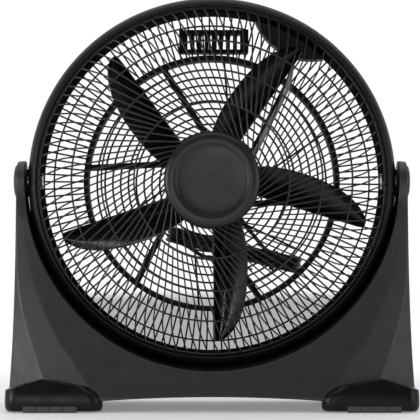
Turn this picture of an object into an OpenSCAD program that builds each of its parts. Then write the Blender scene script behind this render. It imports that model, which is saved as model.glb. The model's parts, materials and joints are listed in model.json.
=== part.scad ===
// Tilting drum floor fan: a round fan head that turns between the two arms of a U-shaped base.
// Millimetres. +Z is up, the air leaves towards -Y, and the origin is on the floor under the
// middle of the base.

/* [Overall] */
// Height of the fan's axis, which the tilt axis crosses, above the floor
axis_z = 323.7; // [320:0.1:330]
// Outer radius of the drum
drum_r = 265; // [262:0.5:266]
// Radius of the hollow in the base that the drum turns in
cradle_r = 268; // [267:0.5:270]
// Wall thickness of the moulded shells
wall = 3; // [2.5:0.1:3.5]

/* [Front grille] */
// Number of ribs at the rim; every second one runs on to the centre
rib_count = 100; // [80:2:120]
// Thickness of a rib
rib_w = 2.1; // [1.6:0.1:2.6]
// Depth of a rib from front to back
rib_depth = 5; // [4:0.5:6]
// Radius of the circle that every rib's line touches
rib_offset = 53; // [45:1:58]
// Radius of the inner ring that the short ribs start from
front_ring_1 = 110.6; // [105:0.1:116]
// Radius of the middle ring
front_ring_2 = 157; // [150:0.5:165]
// Radius of the outer ring
front_ring_3 = 200; // [195:0.5:206]
// Radius of the round cap in the middle
cap_r = 68.3; // [67:0.1:70]

/* [Rear grille] */
// Number of straight bars round the rim
bar_count = 138; // [120:6:150]
// Radius of the thin ring that ties the bars
rear_thin_ring = 232.8; // [225:0.1:238]
// Radius of the innermost ring of the middle part
inner_ring_first = 77.9; // [76:0.1:80]
// Distance from one inner ring to the next
inner_ring_step = 11.7; // [11:0.1:11.9]
// Number of inner rings
inner_ring_count = 9; // [7:1:9]
// Number of wide spokes, with a narrow one between each two
spoke_count = 6; // [4:1:8]

/* [Impeller] */
// Number of blades
blade_count = 5; // [3:1:6]
// Radius of the blade tips
blade_tip_r = 230; // [215:1:234]

/* [Base] */
// Half of the width over the feet
foot_out = 288.5; // [288:0.5:292]
// Half of the depth of the feet
foot_half_d = 105; // [102:0.5:110]
// Half depth of an arm at the tilt axis
arm_half_d = 30; // [28:0.5:32]
// Outer face of an arm, from the middle
arm_out = 280; // [279.5:0.1:281]

/* [Mains lead] */
// Diameter of the lead
cord_d = 6; // [5.5:0.1:6.5]

/* [Hidden] */

$fn = 96;
eps = 0.01;
slack = 0.3;

charcoal = [0.20, 0.205, 0.21];
black = [0.07, 0.07, 0.075];
rubber_grey = [0.22, 0.23, 0.24];
steel = [0.7, 0.7, 0.72];
copper = [0.72, 0.4, 0.2];

// In the head, +Z is the way the air leaves and +Y is up.
module in_head() translate([0, 0, axis_z]) rotate([90, 0, 0]) children();

// A ring with a rectangular section, from z0 up to z1.
module ring(r_in, r_out, z0, z1)
    rotate_extrude() translate([r_in, z0]) square([r_out - r_in, z1 - z0]);

// A round column along the base's Y axis.
module column(x, z, r, y0, y1)
    translate([x, y0, z]) rotate([-90, 0, 0]) cylinder(r = r, h = y1 - y0);

// Places its child at each of n equal angles.
module around(n, first = 0)
    for (k = [0:n - 1]) rotate([0, 0, first + 360 * k / n]) children();

// ---- Base ------------------------------------------------------------------------------

leg_top_z = 300;
leg_foot_z = 20;
leg_flare = 65;
apron_mid_z = 20.9;
apron_end_z = 15.6;
apron_half = 150;
seam_low = 15.6;
seam_slope = 0.34;

// Half depth of the base at a height: narrow arms that flare towards the feet.
function leg_t(z) = max(0, min(1, (leg_top_z - z) / (leg_top_z - leg_foot_z)));
function half_depth(z) = arm_half_d + 2 + leg_flare * pow(leg_t(z), 1.7);

// Outer side of the leg at a height.
function side_x(z) = arm_out + 9.4 * pow(max(0, (axis_z - z) / axis_z), 3.2);

// The base seen from the front, drawn in by "inset" on its outer sides.
module base_outline(inset) {
    top_z = axis_z + arm_half_d - inset;
    right = concat(
        [for (k = [0:6]) let (x = apron_half * k / 6)
            [x, apron_mid_z + inset - (apron_mid_z - apron_end_z) * pow(x / apron_half, 2)]],
        [for (k = [0:8]) let (z = apron_end_z + inset + (top_z - 9 - apron_end_z - inset) * k / 8)
            [side_x(z) - inset, z]],
        [for (a = [22.5:22.5:90]) [arm_out - inset - 9 + 9 * cos(a), top_z - 9 + 9 * sin(a)]],
        [[cradle_r - 12, top_z]]
    );
    polygon(concat(right, [for (k = [len(right) - 1:-1:1]) [-right[k][0], right[k][1]]]));
}

// The base seen from the side: rounded arm ends and flared legs.
module base_side(inset) {
    rotate([0, 90, 0]) cylinder(r = arm_half_d - inset, h = 2 * foot_out, center = true);
    rotate([90, 0, 90]) linear_extrude(2 * foot_out, center = true)
        polygon(concat(
            [for (k = [0:14]) let (z = axis_z * (14 - k) / 14)
                [half_depth(z) - (k == 0 ? 2 : 0) - inset, z - axis_z]],
            [for (k = [14:-1:0]) let (z = axis_z * (14 - k) / 14)
                [-half_depth(z) + (k == 0 ? 2 : 0) + inset, z - axis_z]]
        ));
}

// The slanted facet on the outer front corner of a leg runs through these three points.
facet_top = [275.8, -46, 186];
facet_toe = [238, -95, 46];
facet_heel = [287.4, -45, 29];
facet_cross = cross(facet_toe - facet_top, facet_heel - facet_top);
facet_n = facet_cross / norm(facet_cross);

module facet_cut(inset)
    for (mx = [0, 1], my = [0, 1]) mirror([mx, 0, 0]) mirror([0, my, 0])
        translate(facet_top - inset * facet_n)
            rotate([0, acos(facet_n[2]), atan2(facet_n[1], facet_n[0])])
                translate([-250, -250, 0]) cube([500, 500, 100]);

module base_form(inset) difference() {
    intersection() {
        translate([0, 150, 0]) rotate([90, 0, 0]) linear_extrude(300) base_outline(inset);
        translate([0, 0, axis_z]) base_side(inset);
    }
    column(0, axis_z, cradle_r + inset, -160, 160);
    facet_cut(inset);
}

base_screw_at = [[255, 110], [258, 186], [105, 43]];
bush_r = 14;
screw_seat = 12;

module at_base_screws()
    for (s = [-1, 1], p = base_screw_at) translate([s * p[0], 0, p[1]]) children();

// One half of the base: side -1 is the front shell, +1 the rear shell.
module base_shell(side) difference() {
    intersection() {
        base_form(0);
        translate([-310, side < 0 ? -160 : 0, 0]) cube([620, 160, 360]);
    }
    difference() {
        base_form(wall);
        at_base_screws() column(0, 0, 7, -160, 160);
    }
    if (side < 0) at_base_screws() column(0, 0, 2, -20, 1);
    if (side > 0) at_base_screws() {
        column(0, 0, 2.3, -1, screw_seat + 1);
        column(0, 0, 4.6, screw_seat, 160);
    }
    for (s = [-1, 1]) {
        translate([s * 277, 0, axis_z]) rotate([0, 90, 0]) cylinder(r = bush_r, h = 40, center = true);
        foot_solid(s);
    }
}

// How much further out the inner end of a foot lies at the rear than at the front.
foot_slant = 14;
module foot_plate(x0, x1, half_d, corner, z)
    translate([0, 0, z]) for (side = [-1, 1], x = [x0 + corner + (side > 0 ? foot_slant : 0), x1 - corner])
        translate([x, side * (half_d - corner), 0]) cylinder(r = corner, h = 0.5, $fn = 32);

// The whole block of a foot, up to the sloping joint with the leg.
module foot_solid(s) mirror([s < 0 ? 1 : 0, 0, 0]) intersection() {
    hull() {
        foot_plate(155, foot_out - 3, foot_half_d - 5, 14, 1.5);
        foot_plate(152, foot_out, foot_half_d, 18, 15);
        foot_plate(158, foot_out - 0.5, foot_half_d - 1.5, 18, 27);
        foot_plate(184, foot_out - 1.5, foot_half_d - 8, 18, 46);
    }
    translate([150, 0, 0]) rotate([90, 0, 90]) linear_extrude(150) polygon([
        [-110, 0], [110, 0], [110, seam_low + 110 * seam_slope], [0, seam_low],
        [-110, seam_low + 110 * seam_slope]
    ]);
    // Gabled top, highest where the facet of the leg ends
    translate([0, 110, 0]) rotate([90, 0, 0]) linear_extrude(220) polygon([
        [150, 0], [300, 0], [300, 26.5], [facet_toe[0], facet_toe[2]], [150, 31]
    ]);
}

pad_x0 = 187;
pad_x1 = 262;
pad_h = 9;
pad_deep = 24;
pad_front = 104.6;

module pads(grow)
    for (y = [-pad_front, pad_front - pad_deep])
        translate([pad_x0 - grow, y - grow, -1 - grow])
            cube([pad_x1 - pad_x0 + 2 * grow, pad_deep + 2 * grow, pad_h + 1 + 2 * grow]);

module foot(s) difference() {
    foot_solid(s);
    mirror([s < 0 ? 1 : 0, 0, 0]) {
        pads(0);
        // Hollow that opens into the leg
        translate([0, 0, pad_h + 2]) linear_extrude(60)
            polygon([[190, -84], [236, -84], [258, -60], [258, 60], [236, 84], [206, 84]]);
    }
}

module base_front_shell() color(charcoal) base_shell(-1);
module base_rear_shell() color(charcoal) base_shell(1);
module foot_left() color(black) foot(-1);
module foot_right() color(black) foot(1);

module foot_pads() color(rubber_grey)
    for (s = [0, 1]) mirror([s, 0, 0]) intersection() {
        pads(0);
        translate([0, -200, 0]) cube([400, 400, 50]);
    }

module base_screws() color(steel) at_base_screws() difference() {
    union() {
        column(0, 0, 2, -18, screw_seat + 1);
        column(0, 0, 4.2, screw_seat, screw_seat + 3);
    }
    for (a = [0, 90]) rotate([0, a, 0])
        translate([-0.5, screw_seat + 1.6, -2.2]) cube([1, 3, 4.4]);
}

pin_r = 8;
fit = 0.05;

module on_pivot(s) translate([0, 0, axis_z]) mirror([s < 0 ? 1 : 0, 0, 0]) rotate([0, 90, 0]) children();

module pivot_bushes() color("gainsboro") for (s = [-1, 1]) on_pivot(s)
    ring(pin_r + fit, bush_r, cradle_r, arm_out);

module friction_washers() color(black) for (s = [-1, 1]) on_pivot(s)
    ring(pin_r + slack, 18, cradle_r - 2.5, cradle_r - 1);

// Shallow domed cap over the end of a tilt bolt.
module pivot_cap(s) on_pivot(s) translate([0, 0, arm_out + fit]) rotate_extrude() polygon([
    [0, 2.8], [12, 2.6], [18, 1.4], [18, 0], [24, 0], [23.5, 1.9], [20, 3.8], [12, 5], [0, 5.6]
]);
module pivot_cap_left() color(charcoal) pivot_cap(-1);
module pivot_cap_right() color(charcoal) pivot_cap(1);

// ---- Head: drum and grilles -------------------------------------------------------------

drum_rear_r = 253;
drum_rear_z = -57;
bezel_front_z = 28;
lip_r = 247;

function drum_at(z) = drum_r - (drum_r - drum_rear_r) * pow(z / drum_rear_z, 2.2);
// Front surface of the grille, a shallow dome from the cap to the rim.
dome_mid_z = 55;
dome_rim_z = 27;
function dome(r) = dome_rim_z
    + (dome_mid_z - dome_rim_z) * (1 - pow(max(0, r - cap_r) / (lip_r - cap_r), 2.6));

grille_screw_r = 256;
grille_screw_count = 5;
boss_r = 7;
bolt_seat_x = 250;
module at_tilt_bolts() for (s = [-1, 1]) rotate([0, s * 90, 0]) children();

module drum_shroud() color(black) in_head() difference() {
    union() {
        rotate_extrude($fn = 144) polygon(concat(
            [for (k = [0:8]) let (z = drum_rear_z * k / 8) [drum_at(z), z]],
            [[lip_r - 1, drum_rear_z], [lip_r - 1, drum_rear_z + 3]],
            [for (k = [7:-1:0]) let (z = drum_rear_z * k / 8) [drum_at(z) - wall, z]]
        ));
        around(grille_screw_count, 54) translate([grille_screw_r, 0, -9]) cylinder(r = boss_r, h = 9);
        // Bosses for the tilt bolts, cut off behind the rim of the front grille
        intersection() {
            at_tilt_bolts() translate([0, 0, bolt_seat_x]) cylinder(r = 22, h = drum_r + 0.2 - bolt_seat_x);
            translate([-300, -50, -50.4]) cube([600, 100, 50]);
        }
    }
    around(grille_screw_count, 54) translate([grille_screw_r, 0, -10]) cylinder(r = 2.3, h = 11);
    at_tilt_bolts() translate([0, 0, 240]) cylinder(r = pin_r + 0.1, h = 40);
}

// One rib stands on a straight line that passes the axis at rib_offset.
module rib(r_start) rotate([90, 0, 0])
    translate([0, 0, rib_offset - rib_w / 2]) linear_extrude(rib_w)
        polygon(concat(
            [for (k = [0:5]) let (r = r_start + (lip_r + 1.5 - r_start) * k / 5)
                [sqrt(r * r - rib_offset * rib_offset), dome(r)]],
            [for (k = [5:-1:0]) let (r = r_start + (lip_r + 1.5 - r_start) * k / 5)
                [sqrt(r * r - rib_offset * rib_offset), dome(r) - rib_depth]]
        ));

// A rib's line starts at the angle -90 degrees, so this turns it to where the first one stands.
rib_turn = 88.65;

module front_grille() color(black) in_head() difference() {
    union() {
        // Rolled rim with the lip that the ribs end in
        rotate_extrude($fn = 144) polygon(concat(
            [for (a = [0:10:90]) [drum_r - 13 + 13 * cos(a), bezel_front_z * sin(a)]],
            [[lip_r + 1.5, bezel_front_z + 1], [lip_r, bezel_front_z - 1],
                [lip_r, dome_rim_z - rib_depth - 1]],
            [for (a = [80:-10:0]) [drum_r - 13 + 10 * cos(a), 25 * sin(a)]]
        ));
        for (r = [front_ring_1, front_ring_2, front_ring_3])
            ring(r - 1.2, r + 1.2, dome(r) - rib_depth - 1.5, dome(r) - 1);
        ring(cap_r - 9, cap_r - 1.5, dome_mid_z - 8, dome_mid_z + 1.5);
        around(rib_count / 2, rib_turn + 180 / rib_count * 2) rib(cap_r - 4);
        around(rib_count / 2, rib_turn) rib(front_ring_1);
        around(grille_screw_count, 54) translate([grille_screw_r, 0, 0]) cylinder(r = boss_r, h = 12);
    }
    around(grille_screw_count, 54) translate([grille_screw_r, 0, -1]) cylinder(r = 2, h = 9);
    at_tilt_bolts() translate([0, 0, 240]) cylinder(r = pin_r + slack, h = 40);
}

// Round cap in the middle, with a raised rim round a shallow dish.
cap_front_z = 65;
module grille_cap() color(charcoal) in_head() rotate_extrude() polygon([
    [0, 61.2], [44, 61.8], [49, 62.6], [51.5, 64.4], [55, cap_front_z], [60, 64.4],
    [64.5, 62], [cap_r - 0.6, 59], [cap_r, 56.6], [cap_r - 2.5, 56.6], [cap_r - 3.5, 58.6],
    [50, 60], [0, 58.8]
]);

module grille_screws() color(steel) in_head() around(grille_screw_count, 54)
    translate([grille_screw_r, 0, 0]) {
        translate([0, 0, -12]) cylinder(r = 3.6, h = 3);
        translate([0, 0, -9 - eps]) cylinder(r = 1.95, h = 16);
    }

// The switch housing has an arched inner edge; the rear bars stop at it.
switch_angle = 61.3;
switch_centre_r = 308;
switch_arch_r = 90;
module switch_arch(grow, z0, z1) rotate([0, 0, switch_angle])
    translate([switch_centre_r, 0, z0]) cylinder(r = switch_arch_r + grow, h = z1 - z0);

bar_w = 2.4;
bar_front_z = -57;
bar_rear_z = -61;
bar_phase = -0.46;
bar_out = 252;
step_in = 182.3;
step_out = 189.4;
centre_rear_z = -97;

// Radius at which a bar at this angle ends.
function bar_end(a) = let (side = switch_centre_r * sin(a - switch_angle))
    abs(a - switch_angle) > 30 || abs(side) > switch_arch_r ? bar_out
    : min(bar_out, switch_centre_r * cos(a - switch_angle)
        - sqrt(switch_arch_r * switch_arch_r - side * side) - 1);

module rear_outer_grille() color(black) in_head() union() {
    ring(step_out - 3.4, step_out, bar_rear_z - 0.4, bar_front_z - 0.4);
    difference() {
        ring(rear_thin_ring - 1.2, rear_thin_ring + 1.2, bar_rear_z + 0.4, bar_rear_z + 3);
        switch_arch(1, -80, -40);
    }
    for (k = [0:bar_count - 1]) let (a = bar_phase + 360 * k / bar_count)
        rotate([0, 0, a]) translate([step_out - 1.5, -bar_w / 2, bar_rear_z])
            cube([bar_end(a) - step_out + 1.5, bar_w, bar_front_z - bar_rear_z]);
}

motor_seat_r = 68;
spoke_offset = 33;
// A spoke of width w along a straight line that passes the axis at spoke_offset.
module spoke(w, z0, z1) {
    s0 = sqrt(pow(motor_seat_r - 2, 2) - pow(spoke_offset, 2));
    s1 = sqrt(pow(step_in + 1, 2) - pow(spoke_offset, 2));
    translate([s0, -spoke_offset - w / 2, z0]) cube([s1 - s0, w, z1 - z0]);
}
// Turns a spoke so that its outer end stands at a given angle.
spoke_turn = 90 - acos(spoke_offset / step_in);
spoke_first = 52.5;

module rear_centre_grille() color(black) in_head() difference() {
    union() {
        ring(step_in, step_out - 3.4, centre_rear_z, bar_front_z);
        for (k = [0:inner_ring_count - 1]) let (r = inner_ring_first + k * inner_ring_step)
            ring(r - 1.4, r + 1.4, centre_rear_z + 1, centre_rear_z + 4.5);
        around(spoke_count, spoke_first + spoke_turn) spoke(9.5, centre_rear_z, centre_rear_z + 9);
        around(spoke_count, spoke_first + 31.5 + spoke_turn) spoke(3, centre_rear_z, centre_rear_z + 6);
        translate([0, 0, centre_rear_z + 4]) cylinder(r = motor_seat_r, h = 4);
        ring(motor_seat_r - 3, motor_seat_r, centre_rear_z, centre_rear_z + 9);
    }
    translate([0, 0, centre_rear_z]) cylinder(r = 13, h = 20);
    around(4, 45) translate([36, 0, centre_rear_z]) cylinder(r = 2.3, h = 20);
    rotate([0, 0, 200]) translate([50, 0, centre_rear_z]) cylinder(r = 4, h = 20);
}

// Carrying grip: a pocket that is open to the rear, with a slotted front wall.
grip_x = 3;
grip_w = 103;
grip_h = 34;
grip_low = 193.5;
grip_slot_pitch = 10.5;
grip_rear_z = -92;
module carry_handle() color(black) in_head() translate([grip_x, grip_low, 0]) difference() {
    translate([-grip_w / 2, 0, grip_rear_z]) cube([grip_w, grip_h, bar_rear_z - grip_rear_z]);
    translate([-grip_w / 2 + 6, 5, grip_rear_z - 1])
        cube([grip_w - 12, grip_h - 11, bar_rear_z - 3 - grip_rear_z + 1]);
    for (k = [-3.5:3.5]) translate([k * grip_slot_pitch - 2.1, 5, -80]) cube([4.2, grip_h - 9, 30]);
}

module tilt_bolts() color(steel) in_head() at_tilt_bolts() {
    translate([0, 0, bolt_seat_x - 6]) cylinder(r = 13, h = 6, $fn = 6);
    translate([0, 0, bolt_seat_x - eps]) cylinder(r = pin_r, h = arm_out - slack - bolt_seat_x);
}

// ---- Head: motor -------------------------------------------------------------------------

motor_r = 44;
shaft_r = 4;
bearing_r = 11;
seat_front_z = centre_rear_z + 8;
motor_front_z = -30;

module motor_housing() color(steel) in_head() difference() {
    rotate_extrude() polygon([
        [0, motor_front_z], [motor_r - 6, motor_front_z], [motor_r, motor_front_z - 6],
        [motor_r, -80], [0, -80]
    ]);
    translate([0, 0, -81]) cylinder(r = motor_r - 2, h = 81 + motor_front_z - 8);
    translate([0, 0, -40]) cylinder(r = bearing_r, h = 7);
    translate([0, 0, -50]) cylinder(r = 7, h = 30);
}

module motor_end_plate() color(steel) in_head() difference() {
    union() {
        translate([0, 0, -83]) cylinder(r = motor_r, h = 3);
        around(4, 45) translate([36, 0, seat_front_z]) cylinder(r = 4.5, h = -80 - seat_front_z);
        translate([0, 0, seat_front_z + 1]) cylinder(r = bearing_r + 3, h = 6);
    }
    translate([0, 0, -87]) cylinder(r = bearing_r, h = 7 + eps);
    translate([0, 0, -90]) cylinder(r = 7, h = 12);
    around(4, 45) translate([36, 0, seat_front_z - 1]) cylinder(r = 2, h = 8);
}

module stator_core() color(steel) in_head() difference() {
    translate([0, 0, -72]) cylinder(r = motor_r - 2.3, h = 26);
    translate([0, 0, -73]) cylinder(r = 22.5, h = 28);
    around(8) translate([30, 0, -73]) cylinder(r = 4.2, h = 28);
}

module stator_windings() color(copper) in_head() for (z = [-78, -45.7])
    ring(24, 36, z, z + 5.5);

module bearing_at(z) in_head() ring(shaft_r + fit, bearing_r - fit, z, z + 6.5);
module bearing_front() color(steel) bearing_at(-39.8);
module bearing_rear() color(steel) bearing_at(-86.8);

module motor_cover() color(black) in_head() difference() {
    rotate_extrude() polygon([
        [0, -104.5], [51, -104.5], [59, -103], [62.8, -99.5], [63.4, centre_rear_z],
        [63.4, centre_rear_z + 3.8], [61, centre_rear_z + 3.8], [60.3, -99], [57, -101], [50, -102],
        [0, -102]
    ]);
    // Louvres in the rear face
    for (k = [-3:3]) translate([k * 9 - 1.5, -26, -106]) cube([3, 52, 5]);
}

module motor_screws() color(steel) in_head() around(4, 45) translate([36, 0, 0]) {
    translate([0, 0, -96.2]) cylinder(r = 4, h = 3.2);
    translate([0, 0, -93 - eps]) cylinder(r = 1.95, h = 8.5);
}

module run_capacitor() color("ivory") in_head() translate([-15, -62, seat_front_z]) cube([30, 15, 24]);

// ---- Head: speed switch ------------------------------------------------------------------

knob_at_r = 231;
module at_knob() rotate([0, 0, switch_angle]) translate([knob_at_r, 0, 0]) children();

switch_box_out = 245.5;
switch_front_z = -32;
switch_rear_z = -66;
module switch_block(shrink, z0, z1) intersection() {
    translate([0, 0, z0]) cylinder(r = switch_box_out - shrink, h = z1 - z0);
    switch_arch(-shrink, z0 - 1, z1 + 1);
}

module switch_housing() color(black) in_head() difference() {
    switch_block(0, switch_rear_z, switch_front_z);
    difference() {
        switch_block(2.2, switch_rear_z - 1, switch_front_z - 2.5);
        at_knob() for (y = [-22, 22]) translate([0, y, -75]) cylinder(r = 4, h = 50);
    }
    at_knob() for (y = [-22, 22]) translate([0, y, -75]) cylinder(r = 1.6, h = 19);
}

module switch_panel() color(black) in_head() difference() {
    switch_block(0, switch_rear_z - 2.5, switch_rear_z);
    at_knob() translate([0, 0, -75]) cylinder(r = 4.4, h = 20);
    at_knob() for (y = [-22, 22]) translate([0, y, -75]) cylinder(r = 1.9, h = 20);
}

module rotary_switch() color("ivory") in_head() at_knob() difference() {
    union() {
        translate([-7.5, -14, -56]) cube([15, 28, 20]);
        translate([0, 0, switch_rear_z]) cylinder(r = 6.5, h = 12);
    }
    translate([0, 0, switch_rear_z - 1]) cylinder(r = 3 + fit, h = 20);
}

module switch_screws() color(steel) in_head() at_knob() for (y = [-22, 22]) translate([0, y, 0]) {
    translate([0, 0, -70.7]) cylinder(r = 3.2, h = 2.2);
    translate([0, 0, -68.6]) cylinder(r = 1.5, h = 12);
}

// Speed knob with a pointer bar, and the stem that turns in the switch.
module speed_knob() color(black) in_head() at_knob() {
    translate([0, 0, -70.4]) cylinder(r = 3, h = 20);
    translate([0, 0, -73.5]) cylinder(r = 13.5, h = 3.4);
    difference() {
        translate([0, 0, -86]) cylinder(r1 = 11, r2 = 12.4, h = 12.6);
        for (s = [-1, 1]) translate([s * 9 - 5, -15, -87]) cube([10, 30, 8.5]);
    }
}

// The wires to the switch run in a conduit along a spoke and up to the switch housing.
conduit_points = [[51, 19, -84.4], [108, 130, -84.4], [112, 140, -52], [120, 183.5, -49]];
conduit_r = 3.6;
module rod(a, b, r) {
    d = b - a;
    translate(a) rotate([0, acos(d[2] / norm(d)), atan2(d[1], d[0])]) cylinder(r = r, h = norm(d), $fn = 24);
}
module wire_conduit() color("silver") in_head() {
    for (k = [0:len(conduit_points) - 2]) rod(conduit_points[k], conduit_points[k + 1], conduit_r);
    for (k = [1:len(conduit_points) - 2]) translate(conduit_points[k]) sphere(r = conduit_r + 0.5, $fn = 24);
}

// ---- Mains lead --------------------------------------------------------------------------

// Route of the free stretch from the gland to the hank, and from the hank to the plug.
lead_route = [
    [61, 101, 249], [68.4, 101.1, 240], [75.7, 101.3, 231.1], [79, 101.5, 227.6], [83, 101.7, 224.5],
    [87.5, 102, 222.2], [92.2, 102.2, 220.5]
];
// The hank lies along its own X axis behind the grille, sloping down to the right.
hank_at = [33.5, 120.5, 224.7];
hank_slope = 15;
hank_long = 208;
hank_wide = 42;
hank_thick = 28;
tail_route = [
    [-73, -16.4, -11.8], [-67, -13.8, -13.2], [-59.5, -9, -15.9], [-52, -4.2, -18.6], [-46, -1.6, -20.1],
    [-41, -0.4, -20.8], [-36, 0, -21]
];
module at_hank() translate(hank_at) rotate([0, hank_slope, 0]) children();

// A round tube swept along a list of points.
function unit(v) = v / norm(v);
function heading(p, k) = unit(p[min(k + 1, len(p) - 1)] - p[max(k - 1, 0)]);
module tube(p, d, n = 10) {
    pts = [for (k = [0:len(p) - 1]) let (h = heading(p, k), a = unit(cross(h, [0.1, 0.2, 1])), b = cross(h, a))
        for (j = [0:n - 1]) p[k] + d / 2 * (cos(360 * j / n) * a + sin(360 * j / n) * b)];
    polyhedron(pts, concat(
        [[for (j = [0:n - 1]) j]],
        [for (k = [0:len(p) - 2]) for (j = [0:n - 1])
            [k * n + j, k * n + n + j, k * n + n + (j + 1) % n, k * n + (j + 1) % n]],
        [[for (j = [n - 1:-1:0]) (len(p) - 1) * n + j]]
    ));
}

gland_angle = -50.7;
gland_tip_r = 96.4;
// Tapered strain relief that leads the cord out of the motor cover.
module cord_gland() color(black) in_head()
    rotate([0, 0, gland_angle]) translate([64, 0, -101]) rotate([0, 90, 0]) difference() {
        union() {
            cylinder(r = 3.9, h = 5);
            translate([0, 0, 5]) cylinder(r1 = 3.9, r2 = 3.4, h = gland_tip_r - 69);
        }
        translate([0, 0, -1]) cylinder(r = 3.05, h = 60);
    }

module cord_lead() color(black) tube(lead_route, cord_d);
module cord_tail() color(black) at_hank() tube(tail_route, cord_d);
module cord_hank() color(black) at_hank() linear_extrude(hank_thick, center = true)
    union() {
        square([hank_long - hank_wide, hank_wide], center = true);
        for (s = [-1, 1]) translate([s * (hank_long - hank_wide) / 2, 0]) circle(d = hank_wide);
    }

// Strap round the hank; "drop" lets it reach round the plug below as well.
module strap(x, drop) translate([x, 0, 0]) difference() {
    translate([-3, -hank_wide / 2 - 1.4, -hank_thick / 2 - drop - 1.4])
        cube([6, hank_wide + 2.8, hank_thick + drop + 2.8]);
    translate([-4, -hank_wide / 2 - 0.05, -hank_thick / 2 - drop - 0.05])
        cube([8, hank_wide + 0.1, hank_thick + drop + 0.1]);
}
plug_thick = 14;
module cord_ties() color(black) at_hank() {
    strap(0, plug_thick);
    strap(62, 0);
}

// Flat two-pin plug under the hank; its lead comes in from the left.
module mains_plug() at_hank() translate([0, 0, -hank_thick / 2 - plug_thick / 2]) {
    color(black) {
        translate([-20, 0, 0]) rotate([0, 90, 0]) linear_extrude(36) polygon([
            [-7, -11], [-4, -17.5], [4, -17.5], [7, -11], [7, 11], [4, 17.5], [-4, 17.5], [-7, 11]
        ]);
        translate([-36, 0, 0]) rotate([0, 90, 0]) cylinder(r1 = 3.8, r2 = 6, h = 16 + eps);
    }
    color(steel) for (y = [-9.5, 9.5]) translate([16 - eps, y, 0]) rotate([0, 90, 0]) cylinder(r = 2, h = 19);
}

// ---- Impeller ----------------------------------------------------------------------------

hub_r = 52;
hub_front_z = 18;
hub_rear_z = -34;
blade_lead = 126.8;
blade_thick = 2.6;
// Angle that a blade covers at a radius: wide at the root, narrowing to the tip.
function blade_span(r) = let (t = (r - hub_r) / (blade_tip_r - hub_r))
    40 * pow(1 - t, 1.0) * (1 - 0.45 * t) + 7 * t * (1 - pow(t, 6)) + 3.5 * t;
// Height of the blade's twisted surface, c from 0 at the leading edge to 1 at the trailing edge.
function blade_rise(r) = let (t = (r - hub_r) / (blade_tip_r - hub_r)) 40 - 32 * t;
function blade_z(r, c) = blade_rise(r) * (c - 0.5) + 9 * sin(180 * c) * (1 - 0.5 * c) - 6;
blade_radii = [hub_r - 1.5, 70, 92, 118, 145, 172, 196, 214, 225, blade_tip_r];
chord_steps = 5;

module blade() {
    m = chord_steps + 1;
    n = len(blade_radii);
    pts = [for (side = [0, 1], r = blade_radii, j = [0:chord_steps])
        let (c = j / chord_steps, a = blade_lead + c * blade_span(r))
            [r * cos(a), r * sin(a), blade_z(r, c) - side * blade_thick]];
    top = [for (i = [0:n - 2], j = [0:chord_steps - 1])
        [i * m + j, i * m + j + 1, (i + 1) * m + j + 1, (i + 1) * m + j]];
    bottom = [for (f = top) [for (k = [3:-1:0]) f[k] + n * m]];
    edge = concat([for (j = [0:chord_steps]) j], [for (i = [1:n - 1]) i * m + chord_steps],
        [for (j = [chord_steps - 1:-1:0]) (n - 1) * m + j], [for (i = [n - 2:-1:1]) i * m]);
    sides = [for (k = [0:len(edge) - 1]) let (a = edge[k], b = edge[(k + 1) % len(edge)])
        [b, a, a + n * m, b + n * m]];
    polyhedron(pts, [for (f = concat(top, bottom, sides)) for (t = [1, 2]) [f[0], f[t], f[t + 1]]]);
}

module fan_blades() color(black) in_head() difference() {
    union() {
        difference() {
            translate([0, 0, hub_rear_z]) cylinder(r = hub_r, h = hub_front_z - hub_rear_z);
            translate([0, 0, hub_rear_z - 1]) cylinder(r = hub_r - 3, h = hub_front_z - hub_rear_z - 2);
        }
        translate([0, 0, -26]) cylinder(r = 11, h = hub_front_z + 25);
        around(blade_count) blade();
    }
    translate([0, 0, -27]) cylinder(r = shaft_r, h = 60);
}

module spinner_nut() color(black) in_head() difference() {
    union() {
        translate([0, 0, hub_front_z]) cylinder(r = 16, h = 5);
        translate([0, 0, 23]) cylinder(r1 = 13, r2 = 9, h = 13);
    }
    translate([0, 0, 17]) cylinder(r = shaft_r, h = 14);
}

module motor_shaft() color(steel) in_head() translate([0, 0, -92]) cylinder(r = shaft_r, h = 122);

module rotor_core() color(steel) in_head() ring(shaft_r, 22, -72, -46);

base_front_shell();
base_rear_shell();
foot_left();
foot_right();
foot_pads();
base_screws();
pivot_bushes();
pivot_cap_left();
pivot_cap_right();
friction_washers();
drum_shroud();
front_grille();
grille_cap();
grille_screws();
rear_outer_grille();
rear_centre_grille();
carry_handle();
tilt_bolts();
motor_housing();
motor_end_plate();
stator_core();
stator_windings();
bearing_front();
bearing_rear();
motor_cover();
motor_screws();
run_capacitor();
switch_housing();
switch_panel();
rotary_switch();
switch_screws();
wire_conduit();
cord_gland();
cord_lead();
cord_hank();
cord_tail();
cord_ties();
mains_plug();
fan_blades();
spinner_nut();
motor_shaft();
rotor_core();
speed_knob();
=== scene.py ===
import json
import math

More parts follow.
